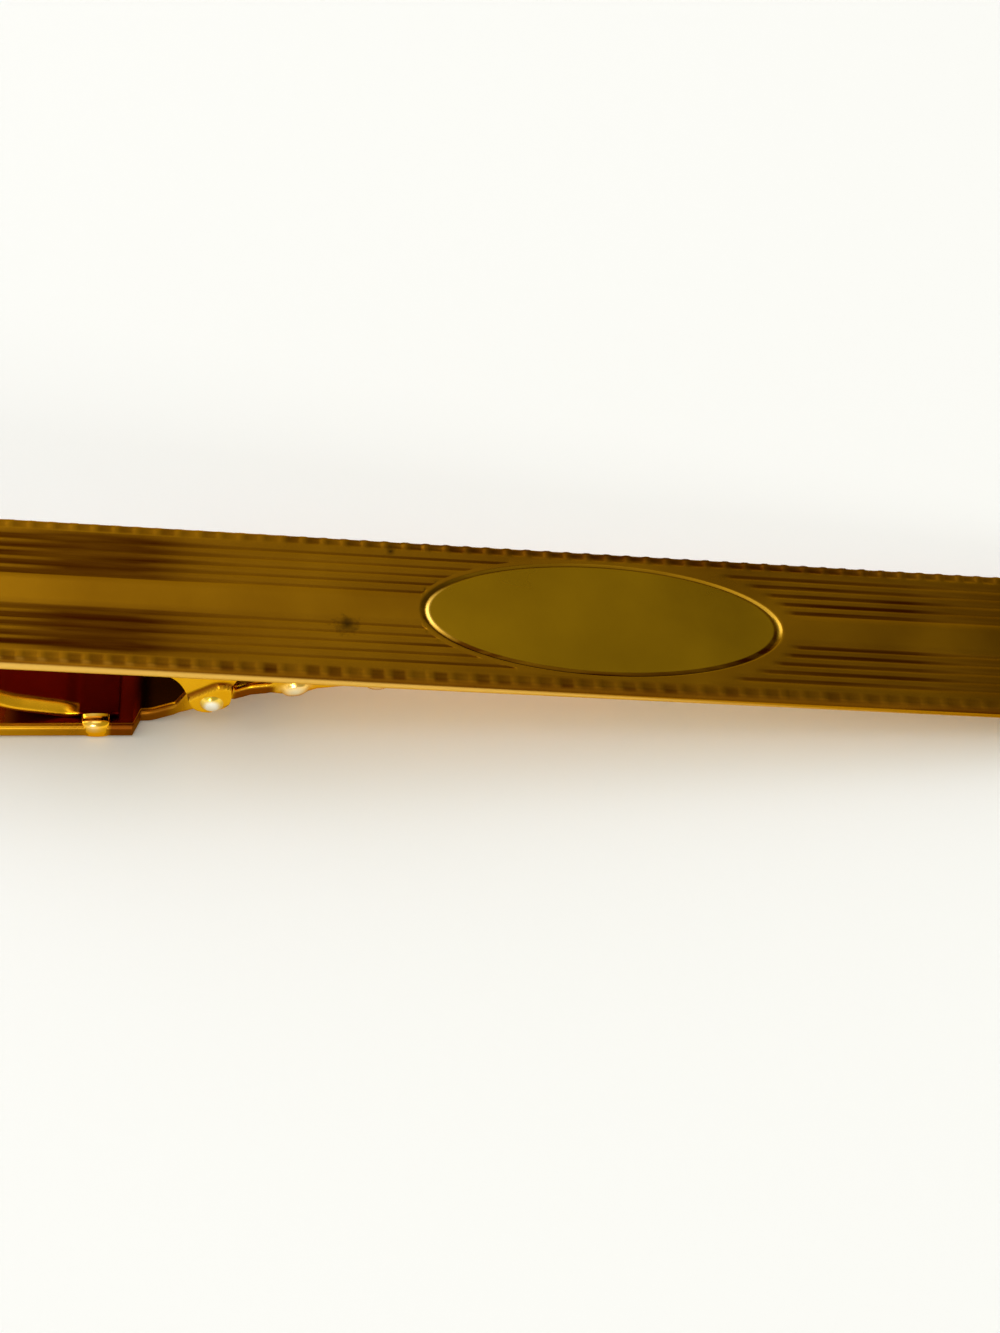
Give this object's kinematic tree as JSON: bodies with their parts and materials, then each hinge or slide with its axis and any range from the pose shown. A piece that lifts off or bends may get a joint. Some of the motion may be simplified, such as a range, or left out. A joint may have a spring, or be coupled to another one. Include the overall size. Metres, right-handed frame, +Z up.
{
  "type": "tie clip",
  "caption": "Gilt tie clip: a flat bar with engraved lines, a bare oval panel and beaded edges, and behind it a sprung toothed lever that grips the tie.",
  "frame": {"origin": "on the table under the middle of the clip's box, with the clip lying on its thumb plate and on the free end of the bar", "axes": "+X along the clip from the hinge end to the free end, +Y across the bar away from the viewer, +Z up from the table"},
  "size_m": [0.0568, 0.0064, 0.0056],
  "materials": {
    "gilt_bar": "polished gilt brass with engraved lines",
    "gilt_clip": "gilt pressed sheet",
    "pin": "polished riveted pin, paler than the gilt",
    "spring": "gilt spring strip"
  },
  "bodies": {
    "lever": {"jaw_lever": "gilt_clip", "leaf_spring": "spring"},
    "bar": {"front_bar": "gilt_bar", "hinge_base": "gilt_clip", "hinge_pin": "pin"}
  },
  "joints": [
    {"name": "jaw_open", "type": "hinge", "parent": "lever", "child": "bar", "pos_m": [-0.01387, 0, 0.00191], "axis": [0, -1, 0], "range_deg": [0, 15], "stiffness_Nm_per_rad": 0.002, "springref_deg": -11.46, "deforming": ["leaf_spring"]}
  ]
}
